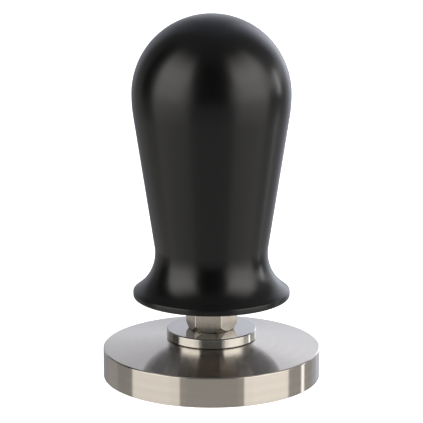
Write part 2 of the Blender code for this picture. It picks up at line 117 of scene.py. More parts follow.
# Stop washer, lock washer and stop screw
STOP_WASHER_EDGE = 0.3 * MM
LOCK_WASHER_EDGE = 0.1 * MM
LOCK_WASHER_RISE = 0.25 * MM
LOCK_WASHER_GAP = math.radians(9)
STOP_HEAD_HEIGHT = 6.0 * MM
STOP_HEAD_CHAMFER = 0.6 * MM
STOP_SOCKET_FLATS = 5.0 * MM
STOP_SOCKET_DEPTH = 3.0 * MM
STOP_SOCKET_CORNER = 0.15 * MM
KNURL_TEETH = 36
KNURL_DEPTH = 0.12 * MM
KNURL_BELOW = 0.2 * MM
KNURL_ABOVE = 0.8 * MM
KNURL_MARGIN = 0.1 * MM
KNURL_ROW = 1.0 * MM

# Handle
BORE_RADIUS = 11.2 * MM
BORE_TOP = 82.35 * MM
NECK_RADIUS = 15.03 * MM
NECK_HEIGHT = 11.95 * MM
NECK_ARC_RADIUS = 11.75 * MM
BARREL_ARC_RADIUS = 39.3 * MM
TAPER_STEPS = 12
FLARE_ANGLE = 52.0
RIM_RADIUS = 20.9 * MM
RIM_TOP_FILLET = 0.3 * MM
RIM_FOOT_FILLET = 0.5 * MM
MOUTH_RADIUS = 17.5 * MM
MOUTH_CHAMFER = 0.25 * MM
MOUTH_DEPTH = 3.05 * MM
SCREW_TAP_DEPTH = 4.6 * MM

# Bottom cover, its screws and the bush
COVER_THICKNESS = 2.75 * MM
COVER_CHAMFER = 0.3 * MM
COVER_LIP_RADIUS = 7.5 * MM
COVER_LIP_HEIGHT = 0.7 * MM
SPIGOT_RADIUS = 11.1 * MM
SPIGOT_BORE_RADIUS = 9.1 * MM
GROOVE_RADIUS = 16.2 * MM
GROOVE_HALF_WIDTH = 0.56 * MM
GROOVE_DEPTH = 1.0 * MM
COVER_HEAD_HEIGHT = 1.45 * MM
COVER_HEAD_EDGE = 0.1 * MM
COVER_SINK_CLEARANCE = 0.15 * MM
COVER_SINK_DEPTH = 0.1 * MM
COVER_SOCKET_FLATS = 2.0 * MM
COVER_SOCKET_DEPTH = 1.2 * MM
COVER_SOCKET_CORNER = 0.08 * MM
BUSH_BODY_RADIUS = 9.0 * MM
BUSH_EDGE = 0.15 * MM
BUSH_HEX_FLATS = 12.2 * MM
BUSH_HEX_CORNER = 0.3 * MM
BUSH_FLANGE_THICKNESS = 0.95 * MM

# Spring, its seats and shims, and the rubber rings
COIL_RADIUS = 7.85 * MM
WIRE_RADIUS = 1.15 * MM
SPRING_TURNS = 12
GROUND_DEPTH = 0.45 * MM
CLOSED_PITCH = 2.4 * MM
SEAT_EDGE = 0.2 * MM
SEAT_BOSS_RADIUS = 6.4 * MM
SEAT_BOSS_HEIGHT = 2.6 * MM
SEAT_SKIRT = 1.7 * MM
SEAT_HOLE_RADIUS = 5.25 * MM
SKIRT_INNER_RADIUS = 10.3 * MM
SHIM_HOLE_RADIUS = 6.0 * MM
BUMPER_SECTION = 0.9 * MM
SEAL_SECTION = 0.44 * MM

# Floor
FLOOR_RADIUS = 3.0
FLOOR_SIDES = 96
FLOOR_GLOW = 0.93

# Camera
CAMERA_AZIMUTH = math.radians(8.5)
CAMERA_ELEVATION = math.radians(13.18)
CAMERA_DISTANCE = 0.53185
CAMERA_TARGET = Vector((0, 0, 0.04483))
CAMERA_LENS = 171.1
CAMERA_SENSOR = 36.0
CAMERA_CLIP_START = 0.05


# ---------------------------------------------------------------- mesh tools

def arc(centre, radius, start, end, steps):
    """Points (r, z) along an arc between two angles in degrees, with both ends."""
    points = []
    for step in range(steps + 1):
        angle = math.radians(start + (end - start) * step / steps)
        points.append((centre[0] + radius * math.cos(angle), centre[1] + radius * math.sin(angle)))
    return points


def ladder(radius, start, end, pitch, per_turn=10):
    """Points up or down a cylinder, close enough together to carry a thread."""
    count = max(1, round(abs(end - start) / pitch * per_turn))
    return [(radius, start + (end - start) * step / count) for step in range(count + 1)]


def rounded(outline, radius, steps=3, closed=None):
    """Outline with a small arc in place of each corner; one that starts on the axis is open.

    A point just past each end of an arc keeps the shading of the straight run beside it flat.
    """
    if closed is None:
        closed = outline[0][0] > 0
    count = len(outline)
    result = []
    for index, point in enumerate(outline):
        here = Vector(point)
        if not closed and index in (0, count - 1):
            result.append(tuple(here))
            continue
        back = Vector(outline[index - 1]) - here
        ahead = Vector(outline[(index + 1) % count]) - here
        cut = min(radius, back.length * CORNER_SHARE, ahead.length * CORNER_SHARE)
        start = here + back.normalized() * cut
        end = here + ahead.normalized() * cut
        result.append(tuple(here + back.normalized() * cut * GUARD_REACH))
        for step in range(steps + 1):
            t = step / steps
            result.append(tuple(start * (1 - t) ** 2 + here * 2 * t * (1 - t) + end * t ** 2))
        result.append(tuple(here + ahead.normalized() * cut * GUARD_REACH))
    return result


def finished(name, bm):
    """Object from a bmesh, with its faces outward, round faces smooth and edges crisp."""
    bmesh.ops.remove_doubles(bm, verts=bm.verts, dist=MERGE_DISTANCE)
    bmesh.ops.recalc_face_normals(bm, faces=bm.faces)
    mesh = bpy.data.meshes.new(name)
    bm.to_mesh(mesh)
    bm.free()
    mesh.shade_smooth()
    mesh.set_sharp_from_angle(angle=SMOOTH_BELOW)
    obj = bpy.data.objects.new(name, mesh)
    bpy.context.scene.collection.objects.link(obj)
    return obj


def turned(name, outline, steps=FINE_STEPS, warp=None):
    """Body of revolution about Z. warp(r, z, angle) may change the radius, for a thread or a knurl."""
    bm = bmesh.new()
    rings = []
    for r, z in outline:
        if r == 0:
            rings.append([bm.verts.new((0, 0, z))] * steps)
            continue
        ring = []
        for step in range(steps):
            angle = math.tau * step / steps
            radius = warp(r, z, angle) if warp else r
            ring.append(bm.verts.new((radius * math.cos(angle), radius * math.sin(angle), z)))
        rings.append(ring)
    if outline[0][0] > 0:
        rings.append(rings[0])
    for one, two in zip(rings, rings[1:]):
        for step in range(steps):
            after = (step + 1) % steps
            corners = []
            for vert in (one[step], one[after], two[after], two[step]):
                if vert not in corners:
                    corners.append(vert)
            if len(corners) > 2:
                bm.faces.new(corners)
    return finished(name, bm)


def hexagon(name, across_flats, bottom, top, corner=HEX_CORNER_RADIUS):
    """Hexagonal bar about Z with rounded corners, two of them on the X axis."""
    bm = bmesh.new()
    half_side = math.radians(30)
    reach = across_flats / math.sqrt(3) - corner / math.cos(half_side)
    section = []
    for side in range(6):
        middle = math.radians(60 * side)
        centre = Vector((math.cos(middle), math.sin(middle), 0)) * reach
        bend = []
        for step in range(-2, 3):
            angle = middle + half_side * step / 2
            bend.append(centre + Vector((math.cos(angle), math.sin(angle), 0)) * corner)
        before = Vector((-math.sin(middle - half_side), math.cos(middle - half_side), 0))
        after = Vector((-math.sin(middle + half_side), math.cos(middle + half_side), 0))
        section += [bend[0] - before * FLAT_MARGIN] + bend + [bend[-1] + after * FLAT_MARGIN]
    rings = [[bm.verts.new((point.x, point.y, z)) for point in section] for z in (bottom, top)]
    count = len(section)
    for step in range(count):
        after = (step + 1) % count
        bm.faces.new((rings[0][step], rings[0][after], rings[1][after], rings[1][step]))
    bm.faces.new(rings[0])
    bm.faces.new(rings[1])
    return finished(name, bm)


def carve(obj, cutter, operation="DIFFERENCE"):
    """Applies a Boolean at once and removes the cutter."""
    modifier = obj.modifiers.new("carve", "BOOLEAN")
    modifier.operation = operation
    modifier.solver = "EXACT"
    modifier.object = cutter
    graph = bpy.context.evaluated_depsgraph_get()
    mesh = bpy.data.meshes.new_from_object(obj.evaluated_get(graph))
    obj.modifiers.clear()
    old = obj.data
    obj.data = mesh
    bpy.data.meshes.remove(old)
    bpy.data.objects.remove(cutter)
    mesh.shade_smooth()
    mesh.set_sharp_from_angle(angle=SMOOTH_BELOW)


def thread(radius, pitch, start, end):
    """Warp that cuts a helical V thread between two heights and fades it out at both ends."""
    depth = THREAD_DEPTH * pitch

    def warp(r, z, angle):
        if abs(r - radius) > depth / 4 or not start < z < end:
            return r
        phase = (z / pitch - angle / math.tau) % 1.0
        tooth = min(1.0, max(0.0, THREAD_SLOPE * (1 - abs(2 * phase - 1)) - THREAD_CREST))
        fade = min(1.0, (z - start) / pitch, (end - z) / pitch)
        return r - depth * tooth * fade
    return warp


# ------------------------------------------------------------- node tools

def add(tree, kind, inputs=None, **settings):
    """Adds a node; an input is given as a socket to link or as a value to set."""
    node = tree.nodes.new(kind)
    for key, value in settings.items():
        setattr(node, key, value)
    for key, value in (inputs or {}).items():
        if isinstance(value, bpy.types.NodeSocket):
            tree.links.new(value, node.inputs[key])
        else:
            node.inputs[key].default_value = value
    return node


def maths(tree, operation, *values):
    """Output of a Math node."""
    return add(tree, "ShaderNodeMath", dict(enumerate(values)), operation=operation).outputs[0]


def spread(tree, value, low, high):
    """Maps a value from 0..1 to low..high."""
    return add(tree, "ShaderNodeMapRange", {"Value": value, "To Min": low, "To Max": high}).outputs[0]


def noise(tree, vector, scale, detail):
    """Noise from 0 to 1, with its contrast stretched."""
    node = add(tree, "ShaderNodeTexNoise", {"Vector": vector, "Scale": scale, "Detail": detail})
    return add(tree, "ShaderNodeMapRange", {
        "Value": node.outputs["Fac"], "From Min": 0.3, "From Max": 0.7,
    }).outputs[0]


def blend(tree, factor, one, two):
    """Mix of two colours."""
    node = add(tree, "ShaderNodeMix", {"Factor": factor}, data_type="RGBA")
    for socket, value in zip((node.inputs[6], node.inputs[7]), (one, two)):
        if isinstance(value, bpy.types.NodeSocket):
            tree.links.new(value, socket)
        else:
            socket.default_value = (*value, 1)
    return node.outputs[2]


def new_material(name, metallic=0.0, **constants):
    """Material with its node tree, its Principled shader and its object coordinates."""
    material = bpy.data.materials.new(name)
    material.use_nodes = True
    tree = material.node_tree
    shader = tree.nodes["Principled BSDF"]
    shader.inputs["Metallic"].default_value = metallic
    for key, value in constants.items():
        shader.inputs[key.replace("_", " ").title().replace("Ior", "IOR")].default_value = value
    place = add(tree, "ShaderNodeTexCoord").outputs["Object"]
    return material, tree, shader, place


def lathe_place(tree, place):
    """Coordinates (r, 0, z), in which any noise becomes rings about the axis."""
    parts = add(tree, "ShaderNodeSeparateXYZ", {"Vector": place})
    radius = maths(
        tree, "SQRT",
        maths(tree, "ADD", maths(tree, "POWER", parts.outputs[0], 2.0),
              maths(tree, "POWER", parts.outputs[1], 2.0)),
    )
    return add(tree, "ShaderNodeCombineXYZ", {"X": radius, "Z": parts.outputs[2]}).outputs[0]


def dress(tree, shader, colour, rough, height, depth):
    """Gives a shader its colour, its roughness and a bump from a height of 0 to 1, its depth in metres."""
    tree.links.new(colour, shader.inputs["Base Color"])
    tree.links.new(rough, shader.inputs["Roughness"])
    bump = add(tree, "ShaderNodeBump", {"Height": height, "Distance": depth, "Strength": 1.0})
    tree.links.new(bump.outputs[0], shader.inputs["Normal"])


# ------------------------------------------------------------- materials

def turned_steel():
    """Stainless steel off the lathe: fine rings, and long reflections across them."""
    material, tree, shader, place = new_material(
        "turned_stainless", metallic=1.0, anisotropic=1.0, anisotropic_rotation=0.25)
    rings = lathe_place(tree, place)
    fine = noise(tree, rings, scale=2600, detail=2)
    broad = noise(tree, rings, scale=700, detail=3)
    cloud = noise(tree, place, scale=160, detail=3)
    colour = blend(tree, broad, (0.65, 0.612, 0.56), (0.68, 0.64, 0.585))
    radius = add(tree, "ShaderNodeSeparateXYZ", {"Vector": rings}).outputs[0]
    finish = add(tree, "ShaderNodeMapRange", {
        "Value": radius, "From Min": CONE_FINISH_RADIUS, "From Max": SIDE_FINISH_RADIUS,
        "To Min": 0.18, "To Max": 0.115,
    }).outputs[0]
    rough = maths(tree, "ADD", finish, spread(tree, broad, -0.015, 0.015))
    rough = maths(tree, "ADD", rough, spread(tree, cloud, -0.01, 0.01))
    tangent = add(tree, "ShaderNodeTangent", direction_type="RADIAL", axis="Z")
    tree.links.new(tangent.outputs[0], shader.inputs["Tangent"])
    dress(tree, shader, colour, rough, fine, 0.0001 * MM)
    return material


def polished_steel():
    """Mirror-polished steel with faint smears and hairline wipe marks."""
    material, tree, shader, place = new_material("polished_stainless", metallic=0.90)
    cloud = noise(tree, place, scale=350, detail=4)
    hairs = noise(tree, lathe_place(tree, place), scale=4000, detail=1)
    colour = blend(tree, cloud, (0.50, 0.495, 0.480), (0.54, 0.535, 0.518))
    dress(tree, shader, colour, spread(tree, cloud, 0.09, 0.13), hairs, 0.00002 * MM)
    return material


def drawn_steel():
    """Bright drawn hexagonal bar: lines along its length, and painted shade that darkens it towards its
    foot, where the collar shades it.
    """
    material, tree, shader, place = new_material("drawn_bar", metallic=1.0)
    stretch = add(tree, "ShaderNodeMapping", {"Vector": place, "Scale": (1, 1, 0.04)}).outputs[0]
    lines = noise(tree, stretch, scale=2500, detail=3)
    cloud = noise(tree, place, scale=260, detail=3)
    metal = blend(tree, lines, (0.91, 0.835, 0.745), (0.97, 0.895, 0.805))
    # Painted shade: below the upper height the bar's colour falls towards a dark brown-grey at the collar,
    # in place of the collar's shade
    height = add(tree, "ShaderNodeSeparateXYZ", {"Vector": place}).outputs[2]
    unshaded = add(tree, "ShaderNodeMapRange", {
        "Value": height, "From Min": STEM_SHADE_LOW, "From Max": STEM_SHADE_HIGH,
    }).outputs[0]
    colour = blend(tree, unshaded, (0.50, 0.465, 0.42), metal)
    rough = maths(tree, "ADD", spread(tree, lines, 0.27, 0.33), spread(tree, cloud, -0.02, 0.02))
    dress(tree, shader, colour, rough, lines, 0.0003 * MM)
    return material


def satin_black():
    """Black coated aluminium: a fine even grain with slightly uneven gloss."""
    material, tree, shader, place = new_material("satin_black", specular_tint=(0.965, 0.985, 1.0, 1.0))
    grain = noise(tree, place, scale=2600, detail=2)
    cloud = noise(tree, place, scale=90, detail=3)
    colour = blend(tree, cloud, (0.0008, 0.0008, 0.0010), (0.0014, 0.0014, 0.0017))
    rough = maths(tree, "ADD", spread(tree, cloud, 0.235, 0.265), spread(tree, grain, -0.01, 0.01))
    dress(tree, shader, colour, rough, grain, 0.0002 * MM)
    return material


def black_anodised():
    """Black anodised aluminium with its turning rings still showing."""
    material, tree, shader, place = new_material("black_anodised", metallic=0.4)
    rings = noise(tree, lathe_place(tree, place), scale=4500, detail=2)
    cloud = noise(tree, place, scale=200, detail=3)
    colour = blend(tree, cloud, (0.060, 0.060, 0.064), (0.078, 0.078, 0.083))
    dress(tree, shader, colour, spread(tree, rings, 0.30, 0.42), rings, 0.002 * MM)
    return material


def plain_steel(name, dark, light, rough_low, rough_high):
    """Machined or rolled steel with cloudy roughness and faint rings."""
    material, tree, shader, place = new_material(name, metallic=1.0)
    cloud = noise(tree, place, scale=420, detail=4)
    rings = noise(tree, lathe_place(tree, place), scale=4000, detail=2)
    rough = spread(tree, cloud, rough_low, rough_high)
    dress(tree, shader, blend(tree, cloud, dark, light), rough, rings, 0.001 * MM)
    return material


def acetal(name, dark, light):
    """Machined acetal: waxy, with fine tool rings."""
    material, tree, shader, place = new_material(name, subsurface_weight=0.08, subsurface_scale=1.0 * MM)
    rings = noise(tree, lathe_place(tree, place), scale=3500, detail=2)
    cloud = noise(tree, place, scale=300, detail=3)
    rough = spread(tree, rings, 0.38, 0.52)
    dress(tree, shader, blend(tree, cloud, dark, light), rough, rings, 0.003 * MM)
    return material


def rubber():
    """Moulded nitrile rubber with a dusty bloom."""
    material, tree, shader, place = new_material("nitrile_rubber", specular_ior_level=0.35)
    cloud = noise(tree, place, scale=700, detail=4)
    grain = noise(tree, place, scale=9000, detail=2)
    colour = blend(tree, cloud, (0.014, 0.014, 0.014), (0.030, 0.030, 0.031))
    dress(tree, shader, colour, spread(tree, cloud, 0.55, 0.72), grain, 0.004 * MM)
    return material


def spring_steel():
    """Oil-tempered wire: dark and cloudy, with fine rings from its coiling."""
    material, tree, shader, place = new_material("spring_wire", metallic=1.0)
    cloud = noise(tree, place, scale=500, detail=4)
    streaks = noise(tree, lathe_place(tree, place), scale=6000, detail=2)
    colour = blend(tree, cloud, (0.26, 0.255, 0.25), (0.40, 0.39, 0.38))
    dress(tree, shader, colour, spread(tree, cloud, 0.24, 0.38), streaks, 0.0015 * MM)
    return material


# ---------------------------------------------------------------- pieces

def install(obj, material, node, body):
    """Gives a finished piece its material and puts it in place of its CAD node."""
    obj.data.materials.clear()
    obj.data.materials.append(material)
    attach(obj, body)
    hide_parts(node)
    return obj


def extent(node):
    """Outer radius, lowest and highest z of a node that is centred on the axis."""
    low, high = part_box(node)
    return high.x, low.z, high.z


def tamping_base():
    """Disc with a cone on top, the collar's seat and the tapped hole."""
    radius, bottom, seat = extent("tamping_base")
    hole = STUD_RADIUS + THREAD_CLEARANCE
    hole_end = seat - STUD_HOLE_DEPTH
    return turned("base_disc", rounded([
        (0, bottom),
        (radius - BASE_FOOT_CHAMFER, bottom),
        (radius, bottom + BASE_FOOT_CHAMFER),
        (radius, CONE_EDGE_HEIGHT - BASE_TOP_CHAMFER),
        (radius - BASE_TOP_CHAMFER, CONE_EDGE_HEIGHT),
        (SEAT_RADIUS, seat),
        (hole, seat),
        (hole, hole_end),
        (0, hole_end),
    ], EDGE_RADIUS))


def stem_collar():
    """Polished ring with small chamfers."""
    radius, bottom, top = extent("stem_collar")
    return turned("collar_ring", rounded([
        (COLLAR_BORE, bottom),
        (radius - COLLAR_CHAMFER, bottom),
        (radius, bottom + COLLAR_CHAMFER),
        (radius, top - COLLAR_CHAMFER),
        (radius - COLLAR_CHAMFER, top),
        (COLLAR_BORE, top),
    ], COLLAR_EDGE))


def hex_stem():
    """Hexagonal bar with turned ends, a threaded stud below and a tapped hole above."""
    low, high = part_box("hex_stem")
    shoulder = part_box("stem_collar")[1].z + STEM_GAP
    corner = high.x + TURNING_MARGIN
    chamfer = (corner - HEX_CHAMFER_RADIUS) / HEX_CHAMFER_SLOPE
    outline = [(0, low.z), (STUD_RADIUS - STUD_POINT_CHAMFER, low.z)]
    outline += ladder(STUD_RADIUS, low.z + STUD_POINT_CHAMFER, shoulder, STUD_PITCH)
    outline += [
        (HEX_CHAMFER_RADIUS, shoulder),
        (corner, shoulder + chamfer),
        (corner, high.z - chamfer),
        (HEX_CHAMFER_RADIUS, high.z),
        (STOP_HOLE_RADIUS, high.z),
        (STOP_HOLE_RADIUS, high.z - STOP_HOLE_DEPTH),
        (0, high.z - STOP_HOLE_DEPTH),
    ]
    stud_thread = thread(STUD_RADIUS, STUD_PITCH, low.z, shoulder - STUD_PITCH)
    stem = turned("stem_bar", outline, FINE_STEPS, stud_thread)
    flats = hexagon("flats", high.y * 2, low.z - CUT_OVERSHOOT, high.z + CUT_OVERSHOOT)
    carve(stem, flats, "INTERSECT")
    return stem


def stop_washer():
    """Thick machined washer."""
    radius, bottom, top = extent("stop_washer")
    return turned("stop_washer_ring", rounded([
        (M6_CLEAR_RADIUS, bottom), (radius, bottom), (radius, top), (M6_CLEAR_RADIUS, top),
    ], STOP_WASHER_EDGE), INNER_STEPS)


def lock_washer():
    """Split washer whose ends stand slightly apart in height."""
    radius, bottom, top = extent("lock_washer")
    bm = bmesh.new()
    height = top - bottom - LOCK_WASHER_RISE
    sections = []
    for step in range(INNER_STEPS + 1):
        turn = step / INNER_STEPS
        angle = -math.pi / 2 + LOCK_WASHER_GAP / 2 + (math.tau - LOCK_WASHER_GAP) * turn
        z = bottom + LOCK_WASHER_RISE * turn
        section = []
        corners = [(M6_CLEAR_RADIUS, z), (radius, z), (radius, z + height), (M6_CLEAR_RADIUS, z + height)]
        for r, level in rounded(corners, LOCK_WASHER_EDGE, steps=2):
            section.append(bm.verts.new((r * math.cos(angle), r * math.sin(angle), level)))
        sections.append(section)
    sweep(bm, sections)
    return finished("lock_washer_ring", bm)


def sweep(bm, sections):
    """Joins equal sections into a tube and closes its ends."""
    count = len(sections[0])
    for one, two in zip(sections, sections[1:]):
        for index in range(count):
            after = (index + 1) % count
            bm.faces.new((one[index], one[after], two[after], two[index]))
    bm.faces.new(sections[0])
    bm.faces.new(sections[-1])


def stop_screw():
    """Socket head screw with a knurled head and a real thread."""
    radius, bottom, top = extent("stop_screw")
    under_head = top - STOP_HEAD_HEIGHT
    outline = [(0, bottom), (M6_RADIUS - M6_POINT_CHAMFER, bottom)]
    outline += ladder(M6_RADIUS, bottom + M6_POINT_CHAMFER, under_head, M6_PITCH)
    outline += [(radius, under_head)]
    knurl_low = under_head + KNURL_BELOW
    knurl_high = top - KNURL_ABOVE
    outline += ladder(radius, knurl_low + KNURL_MARGIN, knurl_high + KNURL_MARGIN, KNURL_ROW, per_turn=3)
    outline += [(radius - STOP_HEAD_CHAMFER, top), (0, top)]
    shank = thread(M6_RADIUS, M6_PITCH, bottom, under_head - M6_PITCH)

    def warp(r, z, angle):
        if r > radius - KNURL_DEPTH and knurl_low < z < knurl_high:
            return r - KNURL_DEPTH * (0.5 + 0.5 * math.cos(KNURL_TEETH * angle))
        return shank(r, z, angle)

    screw = turned("stop_screw_body", outline, 4 * KNURL_TEETH, warp)
    socket = hexagon(
        "socket", STOP_SOCKET_FLATS, top - STOP_SOCKET_DEPTH, top + CUT_OVERSHOOT, STOP_SOCKET_CORNER)
    carve(screw, socket)
    return screw


def lower_spring_seat():
    """Acetal cup with a skirt and a centring boss."""
    radius, bottom, top = extent("lower_spring_seat")
    underside = bottom + SEAT_SKIRT
    shelf = top - SEAT_BOSS_HEIGHT
    return turned("lower_seat_cup", rounded([
        (SEAT_HOLE_RADIUS, underside),
        (SKIRT_INNER_RADIUS, underside),
        (SKIRT_INNER_RADIUS, bottom),
        (radius, bottom),
        (radius, shelf),
        (SEAT_BOSS_RADIUS, shelf),
        (SEAT_BOSS_RADIUS, top),
        (SEAT_HOLE_RADIUS, top),
    ], SEAT_EDGE), INNER_STEPS)


def upper_spring_seat():
    """Disc with a centring boss that points down into the coil."""
    radius, bottom, top = extent("upper_spring_seat")
    shelf = bottom + SEAT_BOSS_HEIGHT
    return turned("upper_seat_disc", rounded([
        (0, bottom),
        (SEAT_BOSS_RADIUS, bottom),
        (SEAT_BOSS_RADIUS, shelf),
        (radius, shelf),
        (radius, top),
        (0, top),
    ], SEAT_EDGE), INNER_STEPS)


def shim(number):
    """Thin punched ring."""
    radius, bottom, top = extent(f"calibration_shim_{number}")
    return turned(f"shim_ring_{number}", rounded([
        (SHIM_HOLE_RADIUS, bottom), (radius, bottom), (radius, top), (SHIM_HOLE_RADIUS, top),
    ], THIN_EDGE), INNER_STEPS)


def coil_spring():
    """Round wire wound with closed ends, which are ground flat."""
    low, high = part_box("spring")
    start = low.z + WIRE_RADIUS - GROUND_DEPTH
    length = high.z - low.z - 2 * (WIRE_RADIUS - GROUND_DEPTH)
    open_pitch = (length - 2 * CLOSED_PITCH) / (SPRING_TURNS - 2)
    bm = bmesh.new()
    sections = []
    for step in range(SPRING_TURNS * COIL_STEPS + 1):
        turn = step / COIL_STEPS
        angle = math.tau * turn
        closed = min(turn, 1) + max(turn - SPRING_TURNS + 1, 0)
        z = start + closed * CLOSED_PITCH + (turn - closed) * open_pitch
        section = []
        for r, level in arc((COIL_RADIUS, z), WIRE_RADIUS, 0, 360, WIRE_SIDES)[:-1]:
            section.append(bm.verts.new((r * math.cos(angle), r * math.sin(angle), level)))
        sections.append(section)
    sweep(bm, sections)
    spring = finished("spring_coil", bm)
    envelope = turned("envelope", [
        (0, low.z), (2 * COIL_RADIUS, low.z), (2 * COIL_RADIUS, high.z), (0, high.z),
    ], INNER_STEPS)
    carve(spring, envelope, "INTERSECT")
    return spring


def handle_side(low, high, dome_radius):
    """Outer profile of the handle from the dome's pole down to the foot of the rim."""
    dome = (0, high - dome_radius)
    barrel = (dome_radius - BARREL_ARC_RADIUS, dome[1])
    neck = (NECK_RADIUS + NECK_ARC_RADIUS, low + NECK_HEIGHT)
    across = neck[0] - barrel[0]
    down = barrel[1] - neck[1]
    taper = math.degrees(math.atan2(down, across))
    taper -= math.degrees(math.acos((BARREL_ARC_RADIUS + NECK_ARC_RADIUS) / math.hypot(across, down)))
    flare = math.radians(FLARE_ANGLE)
    outline = arc(dome, dome_radius, 90, 0, steps=48)
    outline += arc(barrel, BARREL_ARC_RADIUS, 0, -taper, steps=10)[1:]
    top_of_neck = arc(neck, NECK_ARC_RADIUS, 180 - taper, 180 + FLARE_ANGLE, steps=36)
    taper_start = Vector(outline[-1])
    taper_end = Vector(top_of_neck[0])
    outline += [tuple(taper_start.lerp(taper_end, step / TAPER_STEPS)) for step in range(1, TAPER_STEPS)]
    outline += top_of_neck
    flare_r, flare_z = outline[-1]
    fillet_r = RIM_RADIUS - RIM_TOP_FILLET
    start_r = fillet_r + RIM_TOP_FILLET * math.cos(flare)
    start_z = flare_z - (start_r - flare_r) / math.tan(flare)
    fillet_z = start_z - RIM_TOP_FILLET * math.sin(flare)
    outline += arc((fillet_r, fillet_z), RIM_TOP_FILLET, FLARE_ANGLE, 0, steps=6)
    foot = (RIM_RADIUS - RIM_FOOT_FILLET, low + RIM_FOOT_FILLET)
    outline += arc(foot, RIM_FOOT_FILLET, 0, -90, steps=8)
    # The arc's own first point misses the axis by a rounding error.
    outline[0] = (0, outline[0][1])
    return outline


def handle_shell():
    """Turned handle with its bore, stepped mouth and three tapped holes."""
    radius, bottom, top = extent("handle_shell")
    shell = turned("handle_body", handle_side(bottom, top, radius) + rounded([
        (MOUTH_RADIUS + MOUTH_CHAMFER, bottom),
        (MOUTH_RADIUS, bottom + MOUTH_CHAMFER),
        (MOUTH_RADIUS, bottom + MOUTH_DEPTH),
        (BORE_RADIUS, bottom + MOUTH_DEPTH),
        (BORE_RADIUS, BORE_TOP),
        (0, BORE_TOP),
    ], EDGE_RADIUS, steps=2, closed=False), HANDLE_STEPS)
    shelf = bottom + MOUTH_DEPTH
    tap_radius = M3_RADIUS + THREAD_CLEARANCE
    for x, y in screw_places():
        hole = turned("hole", [
            (0, shelf - SCREW_TAP_DEPTH),
            (tap_radius, shelf - SCREW_TAP_DEPTH),
            (tap_radius, shelf + SCREW_TAP_DEPTH),
            (0, shelf + SCREW_TAP_DEPTH),
        ], INNER_STEPS // 2)
        hole.location = (x, y, 0)
        carve(shell, hole)
    return shell


def screw_places():
    """Centres (x, y) of the cover screws, as the frame has them."""
    places = []
    for number in (1, 2, 3):
        low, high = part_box(f"cover_screw_{number}")
        places.append(((low.x + high.x) / 2, (low.y + high.y) / 2))
    return places


def bottom_cover():
    """Flanged cover with a spigot, a seal groove, a lip and countersunk holes."""
    radius, bottom, top = extent("bottom_cover")
    face = bottom + COVER_THICKNESS
    cover = turned("cover_flange", rounded([
        (COVER_LIP_RADIUS, bottom),
        (radius - COVER_CHAMFER, bottom),
        (radius, bottom + COVER_CHAMFER),
        (radius, face),
        (GROOVE_RADIUS + GROOVE_HALF_WIDTH, face),
        (GROOVE_RADIUS + GROOVE_HALF_WIDTH, face - GROOVE_DEPTH),
        (GROOVE_RADIUS - GROOVE_HALF_WIDTH, face - GROOVE_DEPTH),
        (GROOVE_RADIUS - GROOVE_HALF_WIDTH, face),
        (SPIGOT_RADIUS, face),
        (SPIGOT_RADIUS, top),
        (SPIGOT_BORE_RADIUS, top),
        (SPIGOT_BORE_RADIUS, bottom + COVER_LIP_HEIGHT),
        (COVER_LIP_RADIUS, bottom + COVER_LIP_HEIGHT),
    ], THIN_EDGE))
    # The first screw stands on the Y axis, so its box reaches as far along X as its head.
    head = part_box("cover_screw_1")[1].x + COVER_SINK_CLEARANCE
    shank = M3_RADIUS + COVER_SINK_CLEARANCE
    for x, y in screw_places():
        hole = turned("countersink", [
            (0, bottom - CUT_OVERSHOOT),
            (head, bottom - CUT_OVERSHOOT),
            (head, bottom + COVER_SINK_DEPTH),
            (shank, bottom + COVER_HEAD_HEIGHT + COVER_SINK_DEPTH),
            (shank, face + CUT_OVERSHOOT),
            (0, face + CUT_OVERSHOOT),
        ], INNER_STEPS)
        hole.location = (x, y, 0)
        carve(cover, hole)
    return cover


def cover_screw(number):
    """Countersunk socket screw, point up, with a real thread."""
    low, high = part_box(f"cover_screw_{number}")
    head = (high.x - low.x) / 2
    bottom, top = low.z, high.z
    outline = [(0, bottom), (head - COVER_HEAD_EDGE, bottom), (head, bottom + COVER_HEAD_EDGE)]
    outline += ladder(M3_RADIUS, bottom + COVER_HEAD_HEIGHT, top - M3_POINT_CHAMFER, M3_PITCH)
    outline += [(M3_RADIUS - M3_POINT_CHAMFER, top), (0, top)]
    warp = thread(M3_RADIUS, M3_PITCH, bottom + COVER_HEAD_HEIGHT, top)
    screw = turned(f"cover_screw_body_{number}", outline, SCREW_STEPS, warp)
    socket = hexagon(
        "socket", COVER_SOCKET_FLATS, bottom - CUT_OVERSHOOT, bottom + COVER_SOCKET_DEPTH,
        COVER_SOCKET_CORNER)
    carve(screw, socket)
    centre = Vector(((low.x + high.x) / 2, (low.y + high.y) / 2, 0))
    for vertex in screw.data.vertices:
        vertex.co += centre
    return screw


def guide_bush():
    """Acetal bush with a hexagonal hole and a flange."""
    radius, bottom, top = extent("hex_guide_bush")
    shelf = top - BUSH_FLANGE_THICKNESS
    bush = turned("guide_bush_body", rounded([
        (0, bottom), (BUSH_BODY_RADIUS, bottom), (BUSH_BODY_RADIUS, shelf),
        (radius, shelf), (radius, top), (0, top),
    ], BUSH_EDGE), INNER_STEPS)
    hole = hexagon("hole", BUSH_HEX_FLATS, bottom - CUT_OVERSHOOT, top + CUT_OVERSHOOT, BUSH_HEX_CORNER)
    carve(bush, hole)
    return bush


def rubber_ring(name, node, section):
    """O-ring in the middle of its CAD node."""
    radius, bottom, top = extent(node)
    outline = arc((radius - section, (bottom + top) / 2), section, 0, 360, RING_SIDES)[:-1]
    return turned(name, outline, RING_STEPS)


